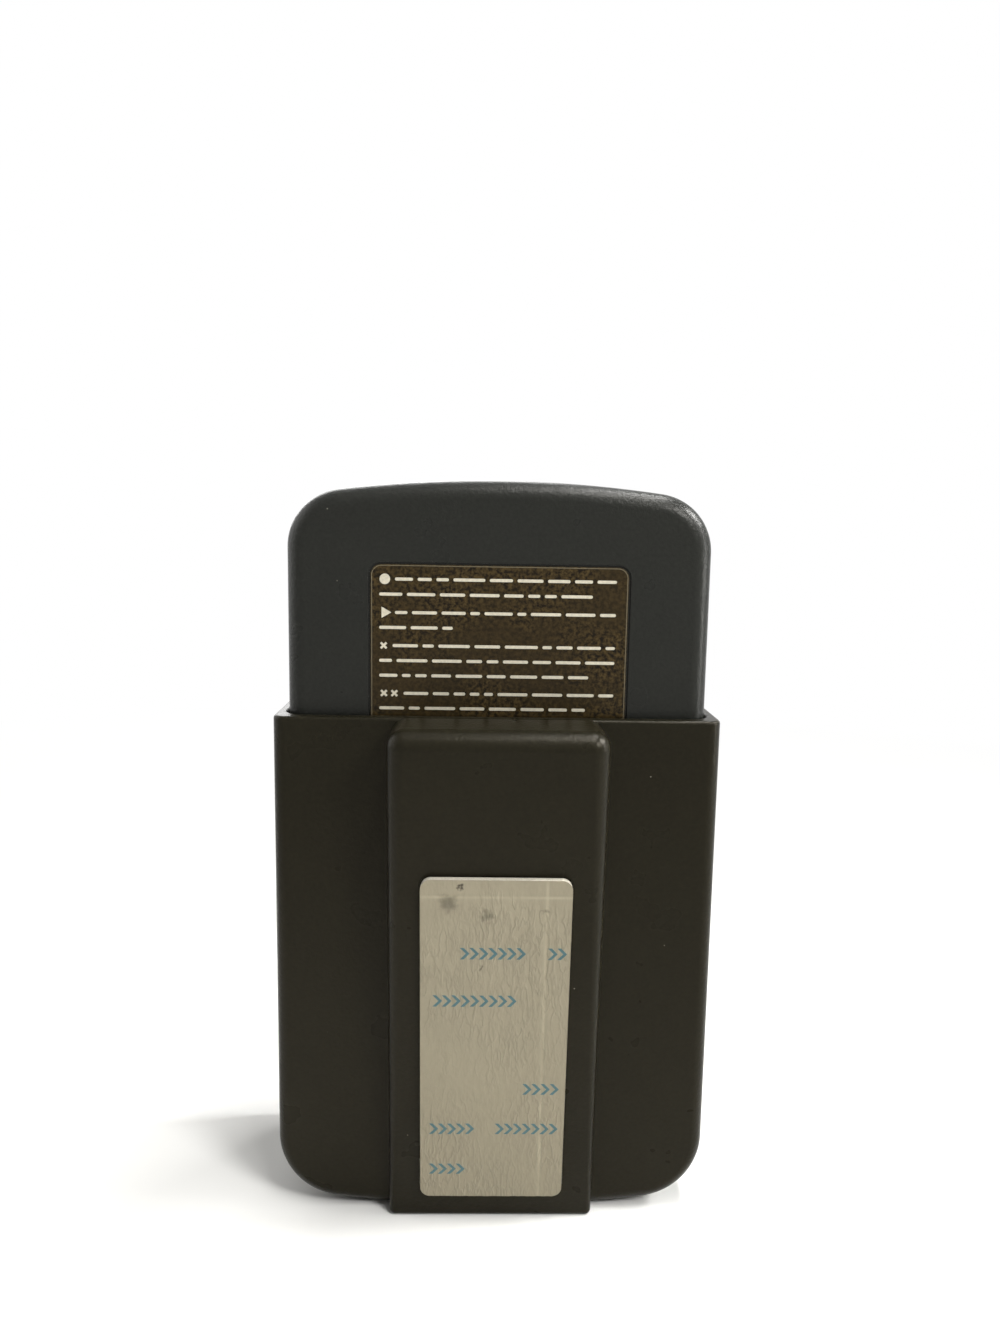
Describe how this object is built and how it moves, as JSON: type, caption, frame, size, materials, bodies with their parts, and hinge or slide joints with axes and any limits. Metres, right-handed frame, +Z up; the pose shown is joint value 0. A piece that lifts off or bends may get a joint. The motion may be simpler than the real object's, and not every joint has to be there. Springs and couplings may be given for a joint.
{
  "type": "digital voice recorder",
  "caption": "Pocket digital voice recorder with a round speaker grille and push buttons, seated in a slide-in holder with a wedge-shaped stick-on mount.",
  "frame": {"origin": "middle of the holder's footprint, on the surface that it stands on", "axes": "+Z up along the recorder's height, +X to the right when the buttons are faced, +Y from the buttons towards the mounting wedge"},
  "size_m": [0.0612, 0.0333, 0.1045],
  "materials": {
    "case_plastic": "dark slate grey moulding with a fine spark texture",
    "holder_plastic": "brown-black moulding with a fine matte texture",
    "label_film": "brown-black printed film with an orange-peel surface",
    "liner_paper": "warm grey coated paper with fine creases",
    "pad_foam": "closed-cell adhesive foam",
    "key_plastic": "mid grey moulding",
    "record_key_plastic": "red moulding",
    "plunger_plastic": "off-white moulding",
    "lamp_lens": "clear red lens",
    "grille_fabric": "black woven dust cloth",
    "boot_rubber": "black soft rubber",
    "screw_steel": "zinc-plated steel",
    "contact_metal": "nickel-plated steel",
    "cell_sleeve": "plain printed sleeve of a battery cell",
    "board_laminate": "green lacquered glass-fibre laminate",
    "chip_resin": "black moulding resin",
    "capacitor_sleeve": "dark blue shrink sleeve",
    "cone_paper": "black pressed paper",
    "magnet_ferrite": "grey magnet with a steel cup",
    "lead_insulation": "red wire insulation"
  },
  "bodies": {
    "holder": {"holder": "holder_plastic", "mounting_wedge": "holder_plastic", "wedge_screws": "screw_steel", "adhesive_pad": "pad_foam", "release_liner": "liner_paper"},
    "recorder": {"rear_cover": "case_plastic", "front_cover": "case_plastic", "rear_label": "label_film", "battery_door": "case_plastic", "door_screw": "screw_steel", "case_screws": "screw_steel", "battery_cells": "cell_sleeve", "battery_springs": "contact_metal", "battery_contacts": "contact_metal", "circuit_board": "board_laminate", "board_screws": "screw_steel", "voice_chip": "chip_resin", "capacitors": "capacitor_sleeve", "crystal": "contact_metal", "push_switches": "chip_resin", "speaker_frame": "screw_steel", "speaker_cone": "cone_paper", "speaker_magnet": "magnet_ferrite", "speaker_leads": "lead_insulation", "grille_cloth": "grille_fabric", "microphone": "contact_metal", "microphone_boot": "boot_rubber", "record_lamp": "lamp_lens"},
    "record_key": {"record_button": "record_key_plastic", "record_plunger": "plunger_plastic"},
    "play_key": {"play_button": "key_plastic", "play_plunger": "plunger_plastic"},
    "erase_last_key": {"erase_last_button": "key_plastic", "erase_last_plunger": "plunger_plastic"},
    "erase_all_key": {"erase_all_button": "key_plastic", "erase_all_plunger": "plunger_plastic"}
  },
  "joints": [
    {"name": "recorder_slide", "type": "slide", "parent": "holder", "child": "recorder", "axis": [0, 0, 1], "range_m": [0, 0.075]},
    {"name": "record_press", "type": "slide", "parent": "recorder", "child": "record_key", "axis": [0, 1, 0], "range_m": [0, 0.0006], "stiffness_N_per_m": 600},
    {"name": "play_press", "type": "slide", "parent": "recorder", "child": "play_key", "axis": [0, 1, 0], "range_m": [0, 0.0006], "stiffness_N_per_m": 600},
    {"name": "erase_last_press", "type": "slide", "parent": "recorder", "child": "erase_last_key", "axis": [0, 1, 0], "range_m": [0, 0.0006], "stiffness_N_per_m": 600},
    {"name": "erase_all_press", "type": "slide", "parent": "recorder", "child": "erase_all_key", "axis": [0, 1, 0], "range_m": [0, 0.0006], "stiffness_N_per_m": 600}
  ]
}
